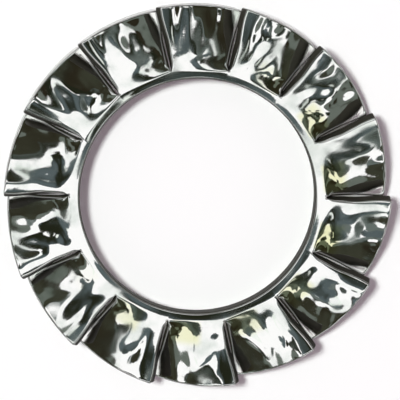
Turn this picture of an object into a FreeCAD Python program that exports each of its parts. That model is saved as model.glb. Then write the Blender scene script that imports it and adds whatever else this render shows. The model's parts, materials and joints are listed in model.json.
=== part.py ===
"""External serrated lock washer: one stamped spring-steel ring with overlapping twisted teeth.

The frame: millimetres, +Z up, the origin on the bore's axis at the height of the surface that the
washer lies on. The teeth stand round the ring like fan blades. Seen from above, each one rises from
its clockwise edge to its counterclockwise edge, which laps over the next tooth's lowered edge.
"""

import FreeCAD, Part
import math
import os

import Sketcher

SIZES = (
    ("bore_diameter", 7.5, "hole for a 7 mm screw, loose fit"),
    ("outer_diameter", 12.35, "over the raised corners of the teeth"),
    ("sheet_thickness", 0.8, "flat spring strip"),
    ("ring_width", 0.25, "flat ring from the bore to the root of a tooth, on the tooth's centre line"),
    ("tooth_count", 14, "teeth round the ring"),
    ("slit_width", 0.15, "cut between two neighbouring teeth, at their roots"),
    ("lap_clearance", 0.25, "height left between two lapping teeth at the rim"),
    ("tip_spread", 0.18, "how much wider than its slit leaves it a tooth is pressed at the rim"),
    ("tip_slant", 0.12, "how much less a tooth's lowered corner reaches out than its raised corner"),
    ("edge_radius", 0.12, "rounding that the punch leaves along a tooth's upper edges"),
    ("edge_break", 0.06, "chamfer along a tooth's lower edges"),
    ("tip_break", 0.05, "chamfer round the end face of a tooth"),
    ("bore_radius", 0.08, "rounding of the bore's two edges"),
)

SECTIONS = 6  # sections that a tooth is lofted through
OVERRUN = 1.06  # length of the lofted tooth over its length at the rim; the end is then cut round
TWIST_EASE = 2  # the twist is greatest near the root: what it lacks falls with this power of the way left
SPREAD_POWER = 4  # the spread stays near the rim: it grows with this power of the way out
TRIM_HALF = math.radians(60)  # half the angle that the cut at a tooth's end takes in
TOUCH = 1e-4  # mm, how near an edge's ends lie to a circle that it belongs to
UP = FreeCAD.Vector(0, 0, 1)

ROOT = "(Sizes.bore_diameter / 2 + Sizes.ring_width)"
RIM = "(Sizes.outer_diameter / 2)"
HALF_PITCH = "(180 deg / Sizes.tooth_count)"
TWIST = f"asin((Sizes.sheet_thickness + Sizes.lap_clearance) / (2 * {RIM} * sin({HALF_PITCH})))"


def size_sheet(doc):
    """The driving dimensions, one row each, with their meaning beside them."""
    sheet = doc.addObject("Spreadsheet::Sheet", "Sizes")
    for row, (name, value, meaning) in enumerate(SIZES, start=1):
        sheet.set(f"A{row}", name)
        sheet.set(f"B{row}", str(value))
        sheet.set(f"C{row}", meaning)
        sheet.setAlias(f"B{row}", name)
    doc.recompute()
    return sheet


def plane_of(body, role):
    """The body's own origin plane with this role."""
    return next(item for item in body.Origin.OriginFeatures if item.Role == role)


def new_sketch(body, name, role):
    """An empty sketch that lies on one of the body's origin planes."""
    sketch = body.newObject("Sketcher::SketchObject", name)
    sketch.AttachmentSupport = [(plane_of(body, role), "")]
    sketch.MapMode = "FlatFace"
    return sketch


def bind(sketch, kind, references, value, name, expression):
    """Adds a driving constraint and ties it to the size sheet."""
    index = sketch.addConstraint(Sketcher.Constraint(kind, *references, value))
    sketch.renameConstraint(index, name)
    sketch.setExpression(f"Constraints.{name}", expression)


def point(x, y):
    return FreeCAD.Vector(x, y, 0)


def pitch_profile(body, sizes):
    """One pitch of the flat ring, seen from above.

    Its inner side is an arc of the bore, its two ends lie on the radii midway between teeth, and its
    outer side is the straight root of the tooth.
    """
    half = math.pi / sizes.tooth_count
    bore = sizes.bore_diameter / 2
    root = bore + sizes.ring_width
    low, high = (point(bore * math.cos(half), s * bore * math.sin(half)) for s in (-1, 1))
    low_root, high_root = (point(root, s * root * math.tan(half)) for s in (-1, 1))
    sketch = new_sketch(body, "PitchProfile", "XY_Plane")
    arc = sketch.addGeometry(Part.ArcOfCircle(Part.Circle(point(0, 0), UP, bore), -half, half))
    low_side = sketch.addGeometry(Part.LineSegment(low, low_root))
    outer = sketch.addGeometry(Part.LineSegment(low_root, high_root))
    high_side = sketch.addGeometry(Part.LineSegment(high_root, high))
    for joint in ((arc, 1, low_side, 1), (low_side, 2, outer, 1), (outer, 2, high_side, 1),
                  (high_side, 2, arc, 2)):
        sketch.addConstraint(Sketcher.Constraint("Coincident", *joint))
    sketch.addConstraint(Sketcher.Constraint("Coincident", arc, 3, -1, 1))
    sketch.addConstraint(Sketcher.Constraint("PointOnObject", -1, 1, low_side))
    sketch.addConstraint(Sketcher.Constraint("PointOnObject", -1, 1, high_side))
    sketch.addConstraint(Sketcher.Constraint("Symmetric", outer, 1, outer, 2, -1))
    bind(sketch, "Radius", (arc,), bore, "bore", "Sizes.bore_diameter / 2")
    bind(sketch, "DistanceX", (-1, 1, outer, 1), root, "root", ROOT)
    bind(sketch, "Angle", (low_side, 1, high_side, 2), 2 * half, "pitch", f"2 * {HALF_PITCH}")
    return sketch


def locate(sketch, reference, x, y, name, x_expression, y_expression):
    """Ties a point of a sketch to its distances from the origin, on the side where it is drawn."""
    origin = (-1, 1)
    sideways = (*origin, *reference) if x > 0 else (*reference, *origin)
    upwards = (*origin, *reference) if y > 0 else (*reference, *origin)
    bind(sketch, "DistanceX", sideways, abs(x), name + "_x", x_expression)
    bind(sketch, "DistanceY", upwards, abs(y), name + "_y", y_expression)


def tooth_section(body, sizes, index):
    """A cross-section of the tooth: the sheet's thickness, turned by the twist.

    The two upper corners are rounded and the two lower ones are chamfered. The section stands across
    the tooth's centre line. The way out, from 0 at the root to 1 at the rim, sets its place, its
    width and its share of the twist, most of which lies near the root.
    """
    way = OVERRUN * index / (SECTIONS - 1)
    turned = 1 - (1 - way) ** TWIST_EASE
    place = f"({ROOT} + {way} * ({RIM} - {ROOT}))"
    half_width = (f"({place} * tan({HALF_PITCH}) - Sizes.slit_width / 2"
                  f" + Sizes.tip_spread / 2 * {way ** SPREAD_POWER})")
    half_sheet = "Sizes.sheet_thickness / 2"
    sketch = new_sketch(body, f"ToothSection{index}", "YZ_Plane")
    sketch.setExpression("AttachmentOffset.Base.z", place)
    sketch.setExpression("AttachmentOffset.Rotation.Angle", f"{turned} * {TWIST}")

    radius = sizes.edge_radius
    half = sizes.bore_diameter / sizes.tooth_count
    top = sizes.sheet_thickness / 2
    notch = sizes.edge_break
    arcs = [Part.ArcOfCircle(Part.Circle(point(side * (half - radius), top - radius), UP, radius),
                             start, start + math.pi / 2)
            for side, start in ((1, 0), (-1, math.pi / 2))]
    right, left = (sketch.addGeometry(arc) for arc in arcs)
    low = [point(-half, notch - top), point(notch - half, -top), point(half - notch, -top),
           point(half, notch - top)]
    face = sketch.addGeometry(Part.LineSegment(point(half - radius, top), point(radius - half, top)))
    left_side = sketch.addGeometry(Part.LineSegment(point(-half, top - radius), low[0]))
    under = [sketch.addGeometry(Part.LineSegment(start, end)) for start, end in zip(low, low[1:])]
    right_side = sketch.addGeometry(Part.LineSegment(low[-1], point(half, top - radius)))
    for joint in ((right, 2, face, 1), (face, 2, left, 1), (left, 2, left_side, 1),
                  (right_side, 2, right, 1)):
        sketch.addConstraint(Sketcher.Constraint("Tangent", *joint))
    chain = (left_side, *under, right_side)
    for before, after in zip(chain, chain[1:]):
        sketch.addConstraint(Sketcher.Constraint("Coincident", before, 2, after, 1))

    for name, arc, side in (("right", right, 1), ("left", left, -1)):
        bind(sketch, "Radius", (arc,), radius, name + "_radius", "Sizes.edge_radius")
        locate(sketch, (arc, 3), side * (half - radius), top - radius, name + "_centre",
               f"{half_width} - Sizes.edge_radius", f"{half_sheet} - Sizes.edge_radius")
    outer = (half_width, f"{half_sheet} - Sizes.edge_break")
    inner = (f"{half_width} - Sizes.edge_break", half_sheet)
    ends = [(line, 1) for line in under] + [(right_side, 1)]
    for number, (reference, spot, distances) in enumerate(zip(ends, low, (outer, inner, inner, outer))):
        locate(sketch, reference, spot.x, spot.y, f"low{number}", *distances)
    return sketch


def tip_profile(body, sizes):
    """What is cut off beyond the tooth's end, seen from above: a sector between two arcs.

    The inner arc ends the tooth. Its centre lies off the tooth's centre line, to the side of the
    raised edge, so that it meets the outer diameter at the raised corner and stays inside it by the
    slant at the lowered corner. The sketch is turned half round, which keeps the start of each full
    circle away from the tooth.
    """
    half = math.pi / sizes.tooth_count
    rim = sizes.outer_diameter / 2
    inner = rim - sizes.tip_slant / 2
    outer = 2 * rim
    offset = sizes.tip_slant / (2 * math.sin(half))
    sketch = new_sketch(body, "TipProfile", "XY_Plane")
    sketch.AttachmentOffset = FreeCAD.Placement(FreeCAD.Vector(), FreeCAD.Rotation(UP, 180))
    near, far = (sketch.addGeometry(Part.ArcOfCircle(Part.Circle(point(0, -offset), UP, radius),
                                                     math.pi - TRIM_HALF, math.pi + TRIM_HALF))
                 for radius in (inner, outer))
    for end in (1, 2):
        side = sketch.addGeometry(Part.LineSegment(sketch.getPoint(near, end), sketch.getPoint(far, end)))
        sketch.addConstraint(Sketcher.Constraint("Coincident", near, end, side, 1))
        sketch.addConstraint(Sketcher.Constraint("Coincident", side, 2, far, end))
        sketch.addConstraint(Sketcher.Constraint("PointOnObject", near, 3, side))
    sketch.addConstraint(Sketcher.Constraint("Coincident", near, 3, far, 3))
    sketch.addConstraint(Sketcher.Constraint("PointOnObject", near, 3, -2))
    sketch.addConstraint(Sketcher.Constraint("Vertical", near, 1, near, 2))
    bind(sketch, "Radius", (near,), inner, "tip_arc", f"{RIM} - Sizes.tip_slant / 2")
    bind(sketch, "Radius", (far,), outer, "clear_of_tooth", f"2 * {RIM}")
    bind(sketch, "DistanceY", (near, 3, -1, 1), offset, "slant",
         f"Sizes.tip_slant / (2 * sin({HALF_PITCH}))")
    bind(sketch, "DistanceX", (near, 1, -1, 1), inner * math.cos(TRIM_HALF), "sector",
         f"({RIM} - Sizes.tip_slant / 2) * {math.cos(TRIM_HALF):.6f}")
    return sketch


def edges_on_circle(shape, centre_y, radius):
    """Names of the shape's edges whose two ends and middle lie on an upright cylinder."""
    names = []
    for number, edge in enumerate(shape.Edges, start=1):
        middle = edge.valueAt((edge.FirstParameter + edge.LastParameter) / 2)
        ends = [vertex.Point for vertex in edge.Vertexes]
        reaches = [math.hypot(spot.x, spot.y - centre_y) for spot in (*ends, middle)]
        if all(abs(reach - radius) < TOUCH for reach in reaches):
            names.append(f"Edge{number}")
    return names


def edge_finish(body, kind, name, base, edges, expression):
    """A fillet or chamfer along the named edges of the feature before it."""
    finish = body.newObject(f"PartDesign::{kind}", name)
    finish.Base = (base, edges)
    finish.setExpression("Radius" if kind == "Fillet" else "Size", expression)
    return finish


def washer_body(doc, sizes):
    """The washer: one pitch of ring with its tooth, finished, then repeated round the axis."""
    body = doc.addObject("PartDesign::Body", "LockWasher")
    body.Label = "lock_washer"

    ring = body.newObject("PartDesign::Pad", "RingPitch")
    ring.Profile = pitch_profile(body, sizes)
    ring.SideType = "Symmetric"
    ring.setExpression("Length", "Sizes.sheet_thickness")

    sections = [tooth_section(body, sizes, index) for index in range(SECTIONS)]
    doc.recompute()
    tooth = body.newObject("PartDesign::AdditiveLoft", "Tooth")
    tooth.Profile = sections[0]
    tooth.Sections = sections[1:]

    trim = body.newObject("PartDesign::Pocket", "TipTrim")
    trim.Profile = tip_profile(body, sizes)
    trim.Type = "ThroughAll"
    trim.SideType = "Symmetric"
    doc.recompute()
    if trim.Shape.Volume >= tooth.Shape.Volume:
        raise RuntimeError("the cut at the tooth's end removed nothing")

    bore_edges = [name for name in edges_on_circle(trim.Shape, 0, sizes.bore_diameter / 2)
                  if abs(trim.Shape.getElement(name).tangentAt(0).z) < TOUCH]
    bore = edge_finish(body, "Fillet", "BoreRounding", trim, bore_edges, "Sizes.bore_radius")
    doc.recompute()

    tip_centre = sizes.tip_slant / (2 * math.sin(math.pi / sizes.tooth_count))
    tip_arc = (sizes.outer_diameter - sizes.tip_slant) / 2
    edge_finish(body, "Chamfer", "TipBreak", bore, edges_on_circle(bore.Shape, tip_centre, tip_arc),
                "Sizes.tip_break")
    doc.recompute()

    teeth = body.newObject("PartDesign::PolarPattern", "Teeth")
    teeth.TransformMode = "Whole shape"
    teeth.Axis = (plane_of(body, "Z_Axis"), [""])
    teeth.Angle = 360
    teeth.setExpression("Occurrences", "Sizes.tooth_count")
    teeth.Refine = True
    body.Tip = teeth
    doc.recompute()

    lowest = body.Shape.optimalBoundingBox().ZMin
    body.Placement = FreeCAD.Placement(FreeCAD.Vector(0, 0, -lowest), FreeCAD.Rotation())
    return body


def main():
    doc = FreeCAD.newDocument("LockWasher")
    washer = washer_body(doc, size_sheet(doc))
    failed = [item.Name for item in doc.Objects if {"Invalid", "Error"} & set(item.State)]
    if failed:
        raise RuntimeError(f"features failed: {failed}")
    shape = washer.Shape
    if shape.isNull() or not shape.isValid() or len(shape.Solids) != 1:
        raise RuntimeError(f"{washer.Label} is not one valid solid")
    os.makedirs("parts", exist_ok=True)
    shape.exportStep(os.path.join("parts", washer.Label + ".step"))


main()
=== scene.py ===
"""The look of an external serrated lock washer: one polished ring of fourteen overlapping twisted teeth.

Metres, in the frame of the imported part: +Z up, the origin under the bore at the height of the floor.
Each piece of the scene is made by its own operator, from sizes that a user can change in the sidebar.
"""

import json
import math

import bmesh
import bpy
import numpy as np
from bpy.props import FloatProperty, FloatVectorProperty, IntProperty, PointerProperty
from mathutils import Matrix, Vector


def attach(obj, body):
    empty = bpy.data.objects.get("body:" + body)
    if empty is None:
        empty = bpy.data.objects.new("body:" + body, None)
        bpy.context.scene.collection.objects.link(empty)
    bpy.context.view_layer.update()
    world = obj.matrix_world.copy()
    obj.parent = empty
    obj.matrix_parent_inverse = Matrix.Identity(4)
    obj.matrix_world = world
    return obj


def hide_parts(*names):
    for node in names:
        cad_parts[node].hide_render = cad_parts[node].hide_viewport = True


bl_info = {
    "name": "Serrated Lock Washer",
    "version": (1, 0, 0),
    "blender": (4, 5, 0),
    "location": "View3D > Sidebar > Washer",
    "description": "Builds a polished external serrated lock washer and the table it is photographed on",
    "category": "Add Mesh",
}

MM = 0.001
NODE = "lock_washer"
BODY = "root"

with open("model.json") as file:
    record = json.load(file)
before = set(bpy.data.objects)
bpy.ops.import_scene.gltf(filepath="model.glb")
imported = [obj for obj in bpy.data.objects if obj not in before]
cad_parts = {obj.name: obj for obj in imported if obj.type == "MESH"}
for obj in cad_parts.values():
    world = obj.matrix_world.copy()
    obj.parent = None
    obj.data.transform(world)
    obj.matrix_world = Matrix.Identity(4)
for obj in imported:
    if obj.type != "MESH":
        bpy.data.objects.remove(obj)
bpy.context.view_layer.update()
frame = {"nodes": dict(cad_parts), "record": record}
BORE = frame["record"]["mounts"][0]

# Shape of a tooth. The way out is 0 at its root and 1 at the rim; shares of the width start at 0 at
# the raised edge. A pair gives where a smooth step starts and ends.
SPREAD_WAY = (0.35, 0.85)  # the way out over which a tooth is spread
CORNER_WAY = (0, 0.12)  # the way out over which its corners get their rounding
LEAST_CORNER = 0.1  # share of a corner's radius that is left where the end's edge draws in
RISE = 0.8  # how steep the raised half is at the rim, as a share of the twist
RISE_BEND = 0.25 * MM  # width of the soft bend along the centre line, where that slope begins
PRESSED_WAY = (0, 0.25)  # the way out over which crown and dents set in
DENT_EDGE = (0.02, 0.26)  # share of the width over which the dents set in from the raised edge
CALM_SHARE = (0.50, 0.80)  # share of the width from which the dents are weaker, but for the rim
CALM = 0.85  # how much weaker they are there
LEAST_TWIST = 0.95  # the twist of the least twisted tooth, as a share of the full twist
FALL_POWER = 1.3  # the ring's face falls with this power of the way in to the bore

# Marks on the surface, for the material: walls partly painted as shade, and a painted warm reflection.
# The walls found by these are painted near black: partly the matt punched steel, partly painted shade and
# dark reflection in the slits and the bore. The ends of the teeth get less of it.
WALL_LEAN = (0.19, 0.30)  # 1 less the upright part of the normal: less on a face, more on a wall
END_FACING = (0.7, 0.9)  # outward part of the normal at which a wall counts as a tooth's end
END_POLISH = 0.6  # how much of the polish the ends of the teeth took
# A painted warm reflection by each tooth's lowered root, not a tint of the plating.
PAINTED_WARM_REFLECTION_ACROSS = ((0.38, 0.50), (0.86, 0.96))  # where the tint sets in and ends across a pitch
PAINTED_WARM_REFLECTION_OUT = ((-0.02, 0.05), (0.28, 0.42))  # where it sets in and ends on the way out

# Seeds of the random draws. Each tooth adds its number to that of the dents.
TWIST_SEED = 7
DENT_SEED = 100
PAINTED_WARM_REFLECTION_SEED = 5
WARP_SEED = 11

# Joining the mesh.
SAME_POINT = 0.0002 * MM
SHORTEST_EDGE = 0.0001 * MM
SHARP_ANGLE = math.radians(50)

# Finish of the steel. Scales are in noise cells per metre.
POLISH_SCALE = 900.0
POLISH_STEP = (0.42, 0.68)
GRAIN_SCALE = 9000.0
GRAIN_HEIGHT = 0.01 * MM
GRAIN_STRENGTH = 0.05
WALL_ROUGHNESS = 0.5
WALL_GLOSS = 0.05

# Table, cards and lamp. The first card's near edge is an oval hole, and each of the others starts
# where the one before it ends.
TABLE_HALF = 600 * MM
CARD_RADIUS = 500 * MM
CARD_ROWS = 24
CARD_SIDES = 91
CARD_EDGES = tuple(math.radians(tilt) for tilt in (24, 38, 66, 81))
HOLE_SHORT = math.radians(7)
BROAD_SCALE = 0.7  # scale of the broad patches, as a share of that of the pale ones
BROAD_STEP = (0.42, 0.62)
PALE_STEP = 0.03
OLIVE = (0.016, 0.018, 0.010)
CARDS = (
    # name, material, noise cells along the radius, dark, middle, pale, noise at which pale begins
    ("dark_collar", "dark_collar", 3.2,
     OLIVE, (0.09, 0.115, 0.12), (0.9, 0.95, 0.9), 0.57),
    ("patched_card", "patched_card", 3.6,
     OLIVE, (0.13, 0.155, 0.145), (1.0, 1.0, 1.0), 0.485),
    ("dark_skirt", "dark_card", 3.4,
     (0.022, 0.019, 0.011), (0.040, 0.042, 0.028), (0.13, 0.15, 0.13), 0.57),
    ("low_skirt", "low_card", 4.0,
     (0.05, 0.06, 0.055), (0.45, 0.5, 0.48), (0.95, 1.0, 0.98), 0.5),
)
AMBIENT = (0.31, 0.245, 0.285)
LAMP_DISTANCE = 400 * MM
LAMP_SIZE = 55 * MM
LAMP_COLOUR = (0.95, 1.0, 0.97)
LAMP_LIGHT = 0.79


def reach_of(node):
    """How far from the axis the node's farthest vertex lies."""
    mesh = frame["nodes"][node].data
    spots = np.zeros(len(mesh.vertices) * 3, np.float32)
    mesh.vertices.foreach_get("co", spots)
    return float(np.hypot(spots[0::3], spots[1::3]).max())


class WasherSizes(bpy.types.PropertyGroup):
    """The washer's sizes."""

    bore_radius: FloatProperty(
        name="Bore radius", description="Radius of the hole",
        default=BORE["dims"]["r_mm"] * MM, unit="LENGTH", precision=5)
    rim_radius: FloatProperty(
        name="Rim radius", description="From the axis to the raised corners of the teeth",
        default=reach_of(NODE), unit="LENGTH", precision=5)
    middle_height: FloatProperty(
        name="Middle height", description="Height of the sheet's middle plane in the flat ring",
        default=BORE["pos_m"][2], unit="LENGTH", precision=5)
    thickness: FloatProperty(
        name="Sheet thickness", description="Thickness of the spring strip",
        default=0.8 * MM, unit="LENGTH", precision=5)
    ring_width: FloatProperty(
        name="Ring width", description="Flat ring from the bore to the root of a tooth",
        default=0.25 * MM, unit="LENGTH", precision=5)
    slit_width: FloatProperty(
        name="Slit width", description="Cut between two neighbouring teeth at their roots",
        default=0.07 * MM, unit="LENGTH", precision=5)
    tip_spread: FloatProperty(
        name="Tip spread", description="How much wider than its slit leaves it a tooth is at the rim",
        default=0.20 * MM, unit="LENGTH", precision=5)
    tip_slant: FloatProperty(
        name="Tip slant", description="How much less a tooth's lowered corner reaches out",
        default=0.12 * MM, unit="LENGTH", precision=5)
    edge_radius: FloatProperty(
        name="Edge radius", description="Rounding of a tooth's raised upper edge and lowered lower edge",
        default=0.07 * MM, unit="LENGTH", precision=5)
    rub_radius: FloatProperty(
        name="Rub radius", description="Rounding of the two edges that pass the neighbouring teeth",
        default=0.20 * MM, unit="LENGTH", precision=5)
    tip_radius: FloatProperty(
        name="Tip radius", description="Rounding round a tooth's end face",
        default=0.06 * MM, unit="LENGTH", precision=5)
    bore_rounding: FloatProperty(
        name="Bore rounding", description="Rounding of the bore's two edges",
        default=0.08 * MM, unit="LENGTH", precision=5)
    twist: FloatProperty(
        name="Twist", description="How far a tooth is turned about its centre line at the rim",
        default=math.radians(21.4), unit="ROTATION", precision=3)
    twist_ease: FloatProperty(
        name="Twist ease", description="Power by which the twist still lacking falls on the way out",
        default=2.6, min=1, max=4)
    tooth_count: IntProperty(
        name="Teeth", description="Teeth round the ring", default=14, min=3)
    land_width: FloatProperty(
        name="Land width", description="Width of the level land pressed along a tooth's raised edge",
        default=0.24 * MM, unit="LENGTH", precision=5)
    land_bend: FloatProperty(
        name="Land bend", description="Width of the bend between the land and the rest of the face",
        default=0.22 * MM, unit="LENGTH", precision=5)
    crown: FloatProperty(
        name="Crown", description="How much lower than a flat face the lowered edge lies",
        default=0.12 * MM, unit="LENGTH", precision=5)
    ring_fall: FloatProperty(
        name="Ring fall", description="How far the punch draws the ring's face down towards the bore",
        default=0.028 * MM, unit="LENGTH", precision=5)
    dent_depth: FloatProperty(
        name="Dent depth", description="Depth of the soft dents that pressing and polishing leave",
        default=0.050 * MM, unit="LENGTH", precision=5)
    dent_length: FloatProperty(
        name="Dent length", description="Usual distance from one dent to the next",
        default=0.75 * MM, unit="LENGTH", precision=5)
    dent_stretch: FloatProperty(
        name="Dent stretch", description="How much longer the dents are outwards than round the ring",
        default=1.5, min=1)
    warp_height: FloatProperty(
        name="Warp height", description="How far out of flat the whole washer is at most",
        default=0.05 * MM, unit="LENGTH", precision=5)
    warp_length: FloatProperty(
        name="Warp length", description="Usual distance from one wave of the warp to the next",
        default=4 * MM, unit="LENGTH", precision=5)


class SteelFinish(bpy.types.PropertyGroup):
    """Colours of the bright plated steel, with near black walls that are partly painted shade, and a
    painted warm reflection.
    """

    bright: FloatVectorProperty(
        name="Bright", description="Colour of the polished faces",
        subtype="COLOR", size=3, min=0, max=1, default=(0.97, 0.97, 0.955))
    dull: FloatVectorProperty(
        name="Dull", description="Colour where the polish is thinner",
        subtype="COLOR", size=3, min=0, max=1, default=(0.80, 0.84, 0.80))
    # Near black for the walls: partly the matt punched steel, partly painted shade and dark reflection in
    # the slits and the bore.
    sheared: FloatVectorProperty(
        name="Sheared", description="Colour of the matt punched walls",
        subtype="COLOR", size=3, min=0, max=1, default=(0.034, 0.033, 0.025))
    smooth: FloatProperty(
        name="Least roughness", description="Roughness of the brightest polish",
        default=0.04, min=0, max=1)
    rough: FloatProperty(
        name="Most roughness", description="Roughness where the polish is thinner",
        default=0.14, min=0, max=1)
    # Painted reflection, not a tint of the plating: a pale straw patch by each tooth's lowered root
    # stands in for the reflection of something warm, strongest on one side.
    straw: FloatVectorProperty(
        name="Straw", description="Tint of the plating at the bend beside a tooth's lowered root",
        subtype="COLOR", size=3, min=0, max=1, default=(0.85, 0.85, 0.54))
    painted_warm_reflection_side: FloatProperty(
        name="Straw side", description="Side of the washer on which the tint is strongest",
        default=math.radians(-47), unit="ROTATION")


class TableSetting(bpy.types.PropertyGroup):
    """The camera and the light over the table."""

    picture_width: FloatProperty(
        name="Picture width", description="Width of what the camera sees at the washer",
        default=12.75 * MM, unit="LENGTH", precision=5)
    off_right: FloatProperty(
        name="Off to the right", description="How far right of the bore's axis the picture's middle lies",
        default=0.09 * MM, unit="LENGTH", precision=5)
    off_down: FloatProperty(
        name="Off downwards", description="How far below the bore's axis the picture's middle lies",
        default=0.16 * MM, unit="LENGTH", precision=5)
    lens: FloatProperty(
        name="Focal length", description="Focal length of the camera", default=300, unit="CAMERA")
    camera_tilt: FloatProperty(
        name="Camera tilt", description="How far off vertical the camera stands",
        default=math.radians(8), unit="ROTATION")
    camera_side: FloatProperty(
        name="Camera side", description="Direction in which the camera stands off, in the picture",
        default=math.radians(115), unit="ROTATION")
    picture_turn: FloatProperty(
        name="Picture turn", description="How far the washer is turned in the picture",
        default=math.radians(12), unit="ROTATION")
    light_tilt: FloatProperty(
        name="Light tilt", description="How far off vertical the main lamp stands",
        default=math.radians(19), unit="ROTATION")
    light_side: FloatProperty(
        name="Light side", description="Direction in which the main lamp stands off, in the picture",
        default=math.radians(148), unit="ROTATION")


def smoothstep(low, high, value):
    """0 below low, 1 above high, and a smooth S between them."""
    share = np.clip((value - low) / (high - low), 0, 1)
    return share * share * (3 - 2 * share)


def between(start, end, value):
    """0 outside, 1 inside, with a smooth step at the start and another at the end."""
    return smoothstep(*start, value) * (1 - smoothstep(*end, value))


def vectors_of(mesh, name):
    """Every vertex's place ("co") or normal ("normal"), one row each."""
    values = np.zeros(len(mesh.vertices) * 3, np.float32)
    mesh.vertices.foreach_get(name, values)
    return values.reshape(-1, 3)


def mark(mesh, name, values):
    """One number for each vertex, which a material reads by its name."""
    mesh.attributes.new(name, "FLOAT", "POINT").data.foreach_set("value", values.astype(np.float32))


def grid_faces(index):
    """Four corners of each cell of a grid of vertex numbers."""
    corners = (index[:-1, :-1], index[:-1, 1:], index[1:, 1:], index[1:, :-1])
    return np.stack([corner.ravel() for corner in corners], axis=1)


class Shell:
    """Grids of points that are put together into one mesh."""

    def __init__(self):
        self.points = []
        self.faces = []
        self.count = 0

    def add(self, x, y, z):
        """A grid of points: three arrays of the same two sizes."""
        index = self.count + np.arange(x.size).reshape(x.shape)
        self.points.append(np.stack([x.ravel(), y.ravel(), z.ravel()], axis=1))
        self.faces.append(grid_faces(index))
        self.count += x.size

    def turned(self, turn):
        """The points and faces of this shell, turned about the axis."""
        points = np.concatenate(self.points)
        x = points[:, 0] * np.cos(turn) - points[:, 1] * np.sin(turn)
        y = points[:, 0] * np.sin(turn) + points[:, 1] * np.cos(turn)
        return np.stack([x, y, points[:, 2]], axis=1), np.concatenate(self.faces)


class Outline:
    """What the shapes below share: the washer's sizes and what follows from them."""

    FACE = 37  # points across a tooth's face
    ARC = 5  # steps round a tooth's corner
    SIDE = 4  # steps down a tooth's side
    NOTCH = 2  # steps across half a slit
    ROWS = 38  # rows from the root to the tip
    TIP_ROWS = 4  # rows round the edge of the end face
    RING_ROWS = 6  # rows across the flat ring
    BORE_ARC = 6  # steps round an edge of the bore
    BORE_WALL = 4  # steps down the wall of the bore

    def __init__(self, sizes):
        self.sizes = sizes
        self.half_pitch = math.pi / sizes.tooth_count
        self.root = sizes.bore_radius + sizes.ring_width
        self.half_sheet = sizes.thickness / 2
        self.tip_arc = sizes.rim_radius - sizes.tip_slant / 2
        self.tip_centre = sizes.tip_slant / (2 * math.sin(self.half_pitch))

    def way(self, x):
        """The way out along a tooth: 0 at its root and 1 at the rim."""
        return (x - self.root) / (self.sizes.rim_radius - self.root)

    def turned(self, x):
        """The share of the twist at x: most of it lies near the root, and it eases off outwards."""
        return 1 - np.clip(1 - self.way(x), 0, 1) ** self.sizes.twist_ease

    def half_width(self, x):
        """Half the tooth's width: the half pitch less half the slit, spread near the rim."""
        spread = self.sizes.tip_spread / 2 * smoothstep(*SPREAD_WAY, self.way(x))
        return x * math.tan(self.half_pitch) - self.sizes.slit_width / 2 + spread

    def tip(self, y):
        """Where the tooth ends: an arc about a centre off the tooth's centre line."""
        return np.sqrt(self.tip_arc ** 2 - (y - self.tip_centre) ** 2)

    def twisted(self, x, across, up, twist):
        """A section's point, turned about the tooth's centre line by the twist's share at that x."""
        turn = self.turned(x) * twist
        y = across * np.cos(turn) - up * np.sin(turn)
        z = across * np.sin(turn) + up * np.cos(turn)
        return x, y, z + self.sizes.middle_height


def half_section(outline, half_width, half_sheet, small, large):
    """Half of a rounded oblong: over the top from the lowered edge, and down the raised side.

    The top is a straight run. The side is a quarter circle of the small radius, a straight wall and a
    quarter circle of the large radius. Turned half round, the two are the other half. The arguments
    are columns of numbers, one for each row of the tooth. The arrays that come back, across and up
    for the top and for the side, have a row for each of them.
    """
    share = np.linspace(0, 1, outline.FACE)[None, :]
    quarter = np.linspace(0, math.pi / 2, outline.ARC + 1)[None, :]
    down = np.linspace(0, 1, outline.SIDE + 1)[None, 1:-1]

    top_across = (large - half_width) * (1 - share) + (half_width - small) * share
    top_up = np.broadcast_to(half_sheet, top_across.shape)
    over_across = half_width - small + small * np.sin(quarter[:, 1:])
    over_up = half_sheet - small + small * np.cos(quarter[:, 1:])
    wall_up = (half_sheet - small) * (1 - down) - (half_sheet - large) * down
    wall_across = np.broadcast_to(half_width, wall_up.shape)
    under_across = half_width - large + large * np.cos(quarter[:, :-1])
    under_up = -(half_sheet - large) - large * np.sin(quarter[:, :-1])
    side_across = np.concatenate([over_across, wall_across, under_across], axis=1)
    side_up = np.concatenate([over_up, wall_up, under_up], axis=1)
    return (top_across, top_up), (side_across, side_up)


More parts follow.
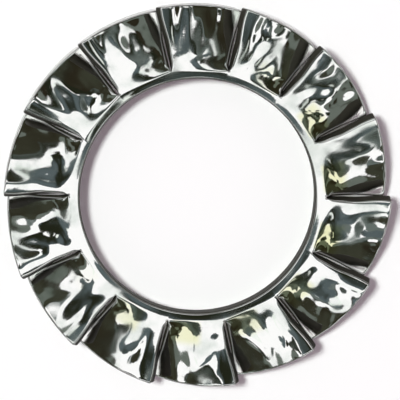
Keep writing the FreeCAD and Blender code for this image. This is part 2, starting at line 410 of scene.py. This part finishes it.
def tooth_grids(outline, twist, seed):
    """One tooth: its faces and sides as one closed band of rows, and the grid that closes its end.

    The rows run from the root to the end arc. The last few go round the end's edge: they draw in by
    r - r cos(a) and move out by r sin(a). The end is a patch that blends its four edges.
    """
    sizes = outline.sizes
    tip_radius = sizes.tip_radius
    body = np.linspace(0, 1, outline.ROWS)
    round_tip = np.linspace(0, math.pi / 2, outline.TIP_ROWS + 1)[1:]
    share = np.concatenate([body, np.ones(outline.TIP_ROWS)])[:, None]
    beyond = np.concatenate([np.zeros(outline.ROWS), tip_radius * np.sin(round_tip)])[:, None]
    inset = np.concatenate([np.zeros(outline.ROWS), tip_radius * (1 - np.cos(round_tip))])[:, None]

    grown = smoothstep(*CORNER_WAY, share)
    small, large = (np.maximum(radius * grown - inset, LEAST_CORNER * radius * grown)
                    for radius in (sizes.edge_radius, sizes.rub_radius))
    half_sheet = outline.half_sheet - inset

    def placed(across, up):
        """Rows of section points, pressed into shape and given their place and the twist."""
        flat = across * math.cos(twist) - up * math.sin(twist)
        x = outline.root + share * (outline.tip(flat) - tip_radius - outline.root) + beyond
        depth = pressing(outline, x, across, up, guide, twist, seed)
        pressed = up - np.sign(up) * depth * np.abs(up) / half_sheet
        wide = (outline.half_width(x) - inset) / (guide - inset)
        return outline.twisted(x, across * wide, pressed, twist)

    guide = outline.half_width(outline.root + share * (outline.tip_arc - tip_radius - outline.root))
    (top_across, top_up), (side_across, side_up) = half_section(
        outline, guide - inset, half_sheet, small, large)
    top = placed(top_across, top_up)
    right = placed(side_across, side_up)
    bottom = placed(-top_across, -top_up)
    left = placed(-side_across, -side_up)
    band = [np.concatenate([a, b, c, d, a[:, :1]], axis=1)
            for a, b, c, d in zip(top, right, bottom, left)]

    cap = []
    for a, b, c, d in zip(top, right, bottom, left):
        upper_edge = a[-1]
        lower_edge = c[-1][::-1]
        right_edge = np.concatenate([[a[-1, -1]], b[-1], [c[-1, 0]]])
        left_edge = np.concatenate([[a[-1, 0]], d[-1][::-1], [c[-1, -1]]])
        u = np.linspace(0, 1, len(upper_edge))[None, :]
        v = np.linspace(0, 1, len(right_edge))[:, None]
        edges = ((1 - v) * upper_edge + v * lower_edge
                 + (1 - u) * left_edge[:, None] + u * right_edge[:, None])
        corners = ((1 - v) * ((1 - u) * upper_edge[0] + u * upper_edge[-1])
                   + v * ((1 - u) * lower_edge[0] + u * lower_edge[-1]))
        cap.append(edges - corners)
    return band, cap


def pressing(outline, x, across, up, half_width, twist, seed):
    """How far inwards a tooth's face is pressed from its flat form.

    Upper face: the raised half rises in proportion to the way out, and so less fast than the twist.
    It is pressed in by the difference of the two slopes times the distance from the centre line.
    Along the raised edge runs a level land with a bend beside it, whose fall is a parabola. Towards
    the lowered edge the face falls by the crown times the cube of the share of the width. Both faces:
    soft dents, which fade out towards the raised edge, and are weaker by the lowered edge but for
    the rim.
    """
    sizes = outline.sizes
    way = np.clip(outline.way(x), 0, 1)
    slow = np.tan(RISE * way * twist)
    raised = (across + np.hypot(across, RISE_BEND)) / 2
    lag = (np.tan(outline.turned(x) * twist) - slow) * raised
    inside = half_width - across
    level = np.clip(sizes.land_width - inside, 0, None)
    bend = np.clip(sizes.land_width + sizes.land_bend - inside, 0, sizes.land_bend)
    land = slow * (level + bend ** 2 / (2 * sizes.land_bend))
    begun = smoothstep(*PRESSED_WAY, way)
    share = inside / (2 * half_width)
    crown = sizes.crown * begun * share ** 3
    place = np.stack([x / sizes.dent_stretch, across], axis=-1)
    upper = soft_noise(place, sizes.dent_length, seed)
    lower = soft_noise(place, sizes.dent_length, seed + sizes.tooth_count)
    calm = CALM * smoothstep(*CALM_SHARE, share) * (1 - way ** 3)
    fading = smoothstep(*DENT_EDGE, share) * (1 - calm)
    noise = np.clip(np.where(up > 0, upper, lower) / 2, -1, 1)
    dents = begun * fading * sizes.dent_depth * (1 + noise) / 2
    return dents + np.where(up > 0, lag + land + crown, 0)


def ring_grids(outline):
    """One pitch of the flat ring, and the two halves of slit wall beside the tooth's root.

    The ring is a profile carried round the axis: in over the top, round the bore's upper edge, down
    its wall, round its lower edge and out again. Its outer side is the straight root of the tooth.
    """
    sizes = outline.sizes
    half_tooth = outline.half_width(outline.root)
    half_ring = outline.root * math.tan(outline.half_pitch)
    slit = np.linspace(half_tooth, half_ring, outline.NOTCH + 1)
    y = np.concatenate([-slit[:0:-1], np.linspace(-half_tooth, half_tooth, outline.FACE), slit[1:]])
    turn = np.arctan2(y, outline.root)[None, :]
    reach = np.hypot(y, outline.root)[None, :]

    rounding = sizes.bore_rounding
    across = np.linspace(0, 1, outline.RING_ROWS + 1)[:-1, None]
    quarter = np.linspace(0, math.pi / 2, outline.BORE_ARC + 1)[:, None]
    flat = reach * (1 - across) + (sizes.bore_radius + rounding) * across
    edge = np.broadcast_to(sizes.bore_radius + rounding * (1 - np.sin(quarter)), (len(quarter), y.size))
    flat_up = outline.half_sheet - sizes.ring_fall * across ** FALL_POWER
    brink = outline.half_sheet - sizes.ring_fall
    edge_up = brink - rounding * (1 - np.cos(quarter))
    wall_up = np.linspace(1, -1, outline.BORE_WALL + 1)[1:-1, None] * (brink - rounding)
    wall = np.full((len(wall_up), y.size), sizes.bore_radius)
    radius = np.concatenate([flat, edge, wall, edge[::-1], flat[::-1]])
    up = np.concatenate([flat_up, edge_up, wall_up, -edge_up[::-1], -flat_up[::-1]])
    z = np.broadcast_to(up + sizes.middle_height, radius.shape)
    grids = [(radius * np.cos(turn), radius * np.sin(turn), z)]

    depth = np.linspace(1, -1, outline.SIDE + 1)[:, None] * outline.half_sheet + sizes.middle_height
    for side in (1, -1):
        wall_y = np.broadcast_to(side * slit[None, :], (len(depth), len(slit)))
        grids.append((np.full(wall_y.shape, outline.root), wall_y, np.broadcast_to(depth, wall_y.shape)))
    return grids


def soft_noise(points, length, seed, waves=40):
    """Smooth noise of about unit size: many sine waves of random direction, length and phase, added.

    The waves are 0.7 to 1.7 times as long as the given length.
    """
    draw = np.random.default_rng(seed)
    direction = draw.normal(size=(waves, points.shape[-1]))
    direction /= np.linalg.norm(direction, axis=1)[:, None]
    pitch = length * draw.uniform(0.7, 1.7, size=(waves, 1))
    phase = draw.uniform(0, 2 * math.pi, size=waves)
    angle = points @ (direction * 2 * math.pi / pitch).T + phase
    return np.sin(angle).sum(axis=-1) * math.sqrt(2 / waves)


def mark_sheared_and_shade(mesh):
    """Marks the punched walls, where the surface stands upright beside a sharp edge.

    The mark is 1 on a wall and 0 on a face: a smooth step of how flat the surface's normal lies. The
    material paints the marked walls matt and near black: partly the punched steel's own matt finish,
    partly painted shade and dark reflection in the slits and the bore. The ends of the teeth, whose
    normals point away from the axis, took some of the polish: 0.4 there.
    """
    normals = vectors_of(mesh, "normal")
    points = vectors_of(mesh, "co")
    upright = smoothstep(*WALL_LEAN, 1 - np.abs(normals[:, 2]))
    outward = (normals[:, :2] * points[:, :2]).sum(axis=1) / np.hypot(points[:, 0], points[:, 1])
    mark(mesh, "sheared", upright * (1 - END_POLISH * smoothstep(*END_FACING, outward)))


def mark_painted_warm_reflection(mesh, outline, side):
    """Marks a painted warm reflection: a pale straw patch on each tooth, by the lowered end of its root.

    It stands in for the reflection of something warm, not for a tint of the plating. Underneath it is
    the same patch, seen from there. It is stronger on one side of the washer, by the cosine of the
    angle, and differs from tooth to tooth.
    """
    x, y, z = vectors_of(mesh, "co").T
    pitch = 2 * outline.half_pitch
    turn = np.arctan2(y, x)
    number = np.round(turn / pitch)
    inside = 0.5 - (turn / pitch - number) * np.where(z > outline.sizes.middle_height, 1, -1)
    way = outline.way(np.hypot(x, y))
    patch = between(*PAINTED_WARM_REFLECTION_ACROSS, inside) * between(*PAINTED_WARM_REFLECTION_OUT, way)
    strength = np.random.default_rng(PAINTED_WARM_REFLECTION_SEED).uniform(0.5, 1, outline.sizes.tooth_count)
    tooth = number.astype(int) % outline.sizes.tooth_count
    mark(mesh, "straw", patch * strength[tooth] * np.clip(0.5 + np.cos(turn - side), 0, 1))


def warp(mesh, outline):
    """Leaves the washer a little out of flat: long soft waves raise every point, by the warp at most."""
    sizes = outline.sizes
    points = vectors_of(mesh, "co")
    wave = np.clip(soft_noise(points[:, :2].astype(float), sizes.warp_length, WARP_SEED) / 2, -1, 1)
    points[:, 2] += sizes.warp_height * (1 + wave) / 2
    mesh.vertices.foreach_set("co", points.ravel())
    mesh.update()


def washer_mesh(outline):
    """The whole washer as one closed mesh: a pitch of ring and a tooth, repeated round the axis."""
    draw = np.random.default_rng(TWIST_SEED)
    count = outline.sizes.tooth_count
    points = []
    faces = []
    total = 0
    for number in range(count):
        pitch = Shell()
        twist = outline.sizes.twist * draw.uniform(LEAST_TWIST, 1.0)
        for grid in (*tooth_grids(outline, twist, DENT_SEED + number), *ring_grids(outline)):
            pitch.add(*grid)
        more, cells = pitch.turned(2 * math.pi * number / count)
        points.append(more)
        faces.append(cells + total)
        total += len(more)
    mesh = bpy.data.meshes.new("washer_polished")
    mesh.from_pydata(np.concatenate(points).tolist(), [], np.concatenate(faces).tolist())
    work = bmesh.new()
    work.from_mesh(mesh)
    bmesh.ops.remove_doubles(work, verts=work.verts, dist=SAME_POINT)
    bmesh.ops.dissolve_degenerate(work, edges=work.edges, dist=SHORTEST_EDGE)
    bmesh.ops.recalc_face_normals(work, faces=work.faces)
    loose = [edge for edge in work.edges if not edge.is_manifold]
    if loose:
        raise RuntimeError(f"the washer's mesh isn't closed: {len(loose)} open edges")
    if work.calc_volume(signed=True) < 0:
        bmesh.ops.reverse_faces(work, faces=work.faces)
    work.to_mesh(mesh)
    work.free()
    mesh.shade_smooth()
    mesh.set_sharp_from_angle(angle=SHARP_ANGLE)
    return mesh


class NodeBoard:
    """A material's or world's node tree, with short ways to add and join nodes."""

    def __init__(self, tree):
        self.tree = tree
        tree.nodes.clear()

    def add(self, kind, **values):
        """A node, with its settings and the values of its named inputs."""
        node = self.tree.nodes.new(kind)
        for name, value in values.items():
            if hasattr(node, name):
                setattr(node, name, value)
            else:
                node.inputs[name.replace("_", " ")].default_value = value
        return node

    def join(self, source, target):
        """A link from an output to an input."""
        self.tree.links.new(source, target)

    def math(self, operation, first, second):
        """A Math node. Each of its two inputs is a number or another node's output."""
        node = self.add("ShaderNodeMath", operation=operation)
        for socket, value in zip(node.inputs, (first, second)):
            if isinstance(value, (int, float)):
                socket.default_value = value
            else:
                self.join(value, socket)
        return node.outputs[0]

    def ramp(self, value, low, high):
        """0 below low, 1 above high."""
        node = self.add("ShaderNodeMapRange", interpolation_type="SMOOTHSTEP",
                        From_Min=low, From_Max=high)
        self.join(value, node.inputs["Value"])
        return node.outputs["Result"]

    def blend(self, share, first, second):
        """A colour between two colours, each given as numbers or as an output."""
        node = self.add("ShaderNodeMix", data_type="RGBA")
        sockets = [socket for socket in node.inputs if socket.type == "RGBA"]
        self.join(share, node.inputs[0])
        for socket, value in zip(sockets, (first, second)):
            if isinstance(value, bpy.types.NodeSocket):
                self.join(value, socket)
            else:
                socket.default_value = (*value, 1)
        return next(socket for socket in node.outputs if socket.type == "RGBA")

    def end_with(self, kind, output):
        """The output node that ends the tree, with a shader's output joined to its surface."""
        self.join(output, self.add(kind).inputs["Surface"])


def bright_steel(finish):
    """Polished plated steel: bright faces with patches of thinner polish, a fine grain, matt walls
    painted near black, partly as shade, and a painted warm reflection.
    """
    material = bpy.data.materials.new("bright_steel")
    material.use_nodes = True
    board = NodeBoard(material.node_tree)
    place = board.add("ShaderNodeTexCoord").outputs["Object"]

    patches = board.add("ShaderNodeTexNoise", Scale=POLISH_SCALE, Detail=3.0, Roughness=0.55)
    board.join(place, patches.inputs["Vector"])
    thin = board.ramp(patches.outputs[0], *POLISH_STEP)

    wall = board.add("ShaderNodeAttribute", attribute_name="sheared").outputs["Fac"]

    colour = board.blend(thin, finish.bright, finish.dull)
    straw = board.add("ShaderNodeAttribute", attribute_name="straw").outputs["Fac"]
    # Painted reflection: a pale straw patch by each lowered root stands in for the reflection of
    # something warm.
    colour = board.blend(straw, colour, finish.straw)
    # The walls are matt and painted near black: partly their own matt steel, partly painted shade and
    # dark reflection.
    colour = board.blend(wall, colour, finish.sheared)
    roughness = board.add("ShaderNodeMapRange", To_Min=finish.smooth, To_Max=finish.rough)
    board.join(thin, roughness.inputs["Value"])
    duller = board.math("MAXIMUM", roughness.outputs["Result"],
                        board.math("MULTIPLY", wall, WALL_ROUGHNESS))

    grain = board.add("ShaderNodeTexNoise", Scale=GRAIN_SCALE, Detail=2.0)
    board.join(place, grain.inputs["Vector"])
    bump = board.add("ShaderNodeBump", Strength=GRAIN_STRENGTH, Distance=GRAIN_HEIGHT)
    board.join(grain.outputs[0], bump.inputs["Height"])

    shader = board.add("ShaderNodeBsdfPrincipled", Specular_IOR_Level=WALL_GLOSS)
    board.join(board.math("SUBTRACT", 1.0, wall), shader.inputs["Metallic"])
    board.join(colour, shader.inputs["Base Color"])
    board.join(duller, shader.inputs["Roughness"])
    board.join(bump.outputs["Normal"], shader.inputs["Normal"])
    board.end_with("ShaderNodeOutputMaterial", shader.outputs[0])
    return material


def link(name, data):
    """A new object in the scene's own collection."""
    item = bpy.data.objects.new(name, data)
    bpy.context.scene.collection.objects.link(item)
    return item


def mesh_from_grid(name, x, y, z):
    """A mesh from one grid of points."""
    shell = Shell()
    shell.add(x, y, z)
    mesh = bpy.data.meshes.new(name)
    mesh.from_pydata(shell.points[0].tolist(), [], shell.faces[0].tolist())
    return mesh


def direction(tilt, side):
    """Unit vector that leans off vertical by tilt, towards the compass angle side."""
    return Vector((math.sin(tilt) * math.cos(side), math.sin(tilt) * math.sin(side), math.cos(tilt)))


def table_floor(half_size):
    """The white table top, at the height that the washer lies on."""
    corner = np.linspace(-half_size, half_size, 2)
    x, y = np.meshgrid(corner, corner)
    floor = link("table_top", mesh_from_grid("table_top", x, y, np.zeros_like(x)))
    material = bpy.data.materials.new("white_table")
    material.use_nodes = True
    board = NodeBoard(material.node_tree)
    shader = board.add("ShaderNodeBsdfDiffuse", Color=(0.97, 0.97, 0.965, 1))
    board.end_with("ShaderNodeOutputMaterial", shader.outputs[0])
    floor.data.materials.append(material)
    return floor


def oblong(long, short, sides):
    """The tilt of an ellipse's outline at each compass angle: long along angle 0, short across it."""
    return long * short / np.hypot(short * np.cos(sides), long * np.sin(sides))


def card(name, axis, near, far, sides, material):
    """A curved card over the table that only reflections see.

    A patch of a sphere about the washer: the tilt off the axis, from near to far, and the compass
    angle round it are its two parameters. Near is one tilt, or one for each of the angles.
    """
    share = np.linspace(0, 1, CARD_ROWS)[:, None]
    tilt = near * (1 - share) + far * share + 0 * sides
    side = sides + 0 * share
    spots = np.stack([np.sin(tilt) * np.cos(side), np.sin(tilt) * np.sin(side), np.cos(tilt)], axis=2)
    turn = np.array(Vector((0, 0, 1)).rotation_difference(axis).to_matrix())
    x, y, z = np.moveaxis(CARD_RADIUS * spots @ turn.T, 2, 0)
    made = link(name, mesh_from_grid(name, x, y, z))
    made.visible_camera = False
    made.visible_diffuse = False
    made.visible_shadow = False
    made.data.materials.append(material)
    return made


def card_material(name, scale, dark, middle, pale, share):
    """Glow of a card: dark and middle tones in broad patches, pale ones with firm edges over them.

    The scale is in noise cells per metre, and the share is the noise at which the pale ones begin.
    """
    material = bpy.data.materials.new(name)
    material.use_nodes = True
    board = NodeBoard(material.node_tree)
    place = board.add("ShaderNodeTexCoord").outputs["Object"]
    broad = board.add("ShaderNodeTexNoise", Scale=BROAD_SCALE * scale, Detail=2.0)
    fine = board.add("ShaderNodeTexNoise", Scale=scale, Detail=1.0)
    for noise in (broad, fine):
        board.join(place, noise.inputs["Vector"])
    colour = board.blend(board.ramp(broad.outputs[0], *BROAD_STEP), dark, middle)
    colour = board.blend(board.ramp(fine.outputs[0], share, share + PALE_STEP), colour, pale)
    shader = board.add("ShaderNodeEmission")
    board.join(colour, shader.inputs["Color"])
    board.end_with("ShaderNodeOutputMaterial", shader.outputs[0])
    return material


def surroundings(ambient):
    """White where the camera or a reflection looks past the table, and a soft tinted light elsewhere."""
    world = bpy.data.worlds.new("surroundings")
    bpy.context.scene.world = world
    world.use_nodes = True
    board = NodeBoard(world.node_tree)
    path = board.add("ShaderNodeLightPath")
    seen = board.math("MAXIMUM", path.outputs["Is Camera Ray"], path.outputs["Is Glossy Ray"])
    seen = board.math("MAXIMUM", seen, path.outputs["Is Transmission Ray"])
    colour = board.blend(seen, ambient, (1, 1, 1))
    light = board.add("ShaderNodeBackground")
    board.join(colour, light.inputs["Color"])
    board.end_with("ShaderNodeOutputWorld", light.outputs[0])


def main_lamp(aim, leaning):
    """A square soft lamp. LAMP_LIGHT is the light that it lays on the table, 1 for plain white."""
    data = bpy.data.lights.new("main_lamp", "AREA")
    data.size = LAMP_SIZE
    data.color = LAMP_COLOUR
    data.energy = LAMP_LIGHT * (math.pi * LAMP_DISTANCE) ** 2 / leaning.z
    lamp = link("main_lamp", data)
    lamp.visible_glossy = False
    lamp.location = aim + leaning * LAMP_DISTANCE
    lamp.rotation_euler = (-leaning).to_track_quat("-Z", "Y").to_euler()


def place_camera(setting, aim):
    """The camera, aimed beside the bore's axis and rolled so that the washer shows turned."""
    data = bpy.data.cameras.new("camera")
    data.lens = setting.lens
    distance = setting.picture_width * data.lens / data.sensor_width
    camera = link("camera", data)
    leaning = direction(setting.camera_tilt, setting.camera_side - setting.picture_turn)
    top = Vector((math.sin(setting.picture_turn), math.cos(setting.picture_turn), 0))
    right = top.cross(leaning).normalized()
    up = leaning.cross(right)
    camera.location = aim + leaning * distance + right * setting.off_right - up * setting.off_down
    camera.rotation_mode = "QUATERNION"
    camera.rotation_quaternion = Matrix((right, up, leaning)).transposed().to_quaternion()
    data.clip_start = 0.05 * distance
    data.clip_end = 100 * distance
    bpy.context.scene.camera = camera


class LOCK_WASHER_OT_washer(bpy.types.Operator):
    """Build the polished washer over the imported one"""

    bl_idname = "lock_washer.washer"
    bl_label = "Polished washer"

    def execute(self, context):
        outline = Outline(context.scene.washer_sizes)
        mesh = washer_mesh(outline)
        # Marks the walls to be painted near black, partly as painted shade and dark reflection.
        mark_sheared_and_shade(mesh)
        # A painted warm reflection by each tooth's lowered root.
        mark_painted_warm_reflection(mesh, outline, context.scene.steel_finish.painted_warm_reflection_side)
        warp(mesh, outline)
        washer = link("washer_polished", mesh)
        mesh.materials.append(bright_steel(context.scene.steel_finish))
        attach(washer, BODY)
        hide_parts(NODE)
        return {"FINISHED"}


class LOCK_WASHER_OT_table(bpy.types.Operator):
    """Set the table top, the cards that reflections see, the lamp and the camera round the washer"""

    bl_idname = "lock_washer.table"
    bl_label = "Table and light"

    def execute(self, context):
        setting = context.scene.table_setting
        aim = Vector((0, 0, context.scene.washer_sizes.middle_height))
        floor = table_floor(TABLE_HALF)
        sight = direction(setting.camera_tilt, setting.camera_side - setting.picture_turn)
        mirrored = Vector((-sight.x, -sight.y, sight.z))
        around = np.linspace(0, 2 * math.pi, CARD_SIDES)
        near = oblong(CARD_EDGES[0], HOLE_SHORT, around)
        for (name, glow, cells, *tones, share), far in zip(CARDS, CARD_EDGES):
            material = card_material(glow, cells / CARD_RADIUS, *tones, share)
            card(name, mirrored, near, far, around, material)
            near = far
        surroundings(AMBIENT)
        main_lamp(aim, direction(setting.light_tilt, setting.light_side - setting.picture_turn))
        place_camera(setting, aim)
        context.scene.view_settings.view_transform = "Standard"
        return {"FINISHED"}


class LOCK_WASHER_PT_panel(bpy.types.Panel):
    """The washer's sizes, finish and table"""

    bl_label = "Serrated lock washer"
    bl_idname = "LOCK_WASHER_PT_panel"
    bl_space_type = "VIEW_3D"
    bl_region_type = "UI"
    bl_category = "Washer"

    def draw(self, context):
        for group, operator in (("washer_sizes", "lock_washer.washer"), ("steel_finish", None),
                                ("table_setting", "lock_washer.table")):
            box = self.layout.box()
            values = getattr(context.scene, group)
            for name in values.bl_rna.properties.keys():
                if name not in {"rna_type", "name"}:
                    box.prop(values, name)
            if operator:
                box.operator(operator)


CLASSES = (WasherSizes, SteelFinish, TableSetting, LOCK_WASHER_OT_washer, LOCK_WASHER_OT_table,
           LOCK_WASHER_PT_panel)
GROUPS = {"washer_sizes": WasherSizes, "steel_finish": SteelFinish, "table_setting": TableSetting}


def register():
    for item in CLASSES:
        bpy.utils.register_class(item)
    for name, group in GROUPS.items():
        setattr(bpy.types.Scene, name, PointerProperty(type=group))


def unregister():
    for name in GROUPS:
        delattr(bpy.types.Scene, name)
    for item in reversed(CLASSES):
        bpy.utils.unregister_class(item)


def main():
    register()
    bpy.ops.lock_washer.washer()
    bpy.ops.lock_washer.table()


if __name__ == "__main__":
    main()
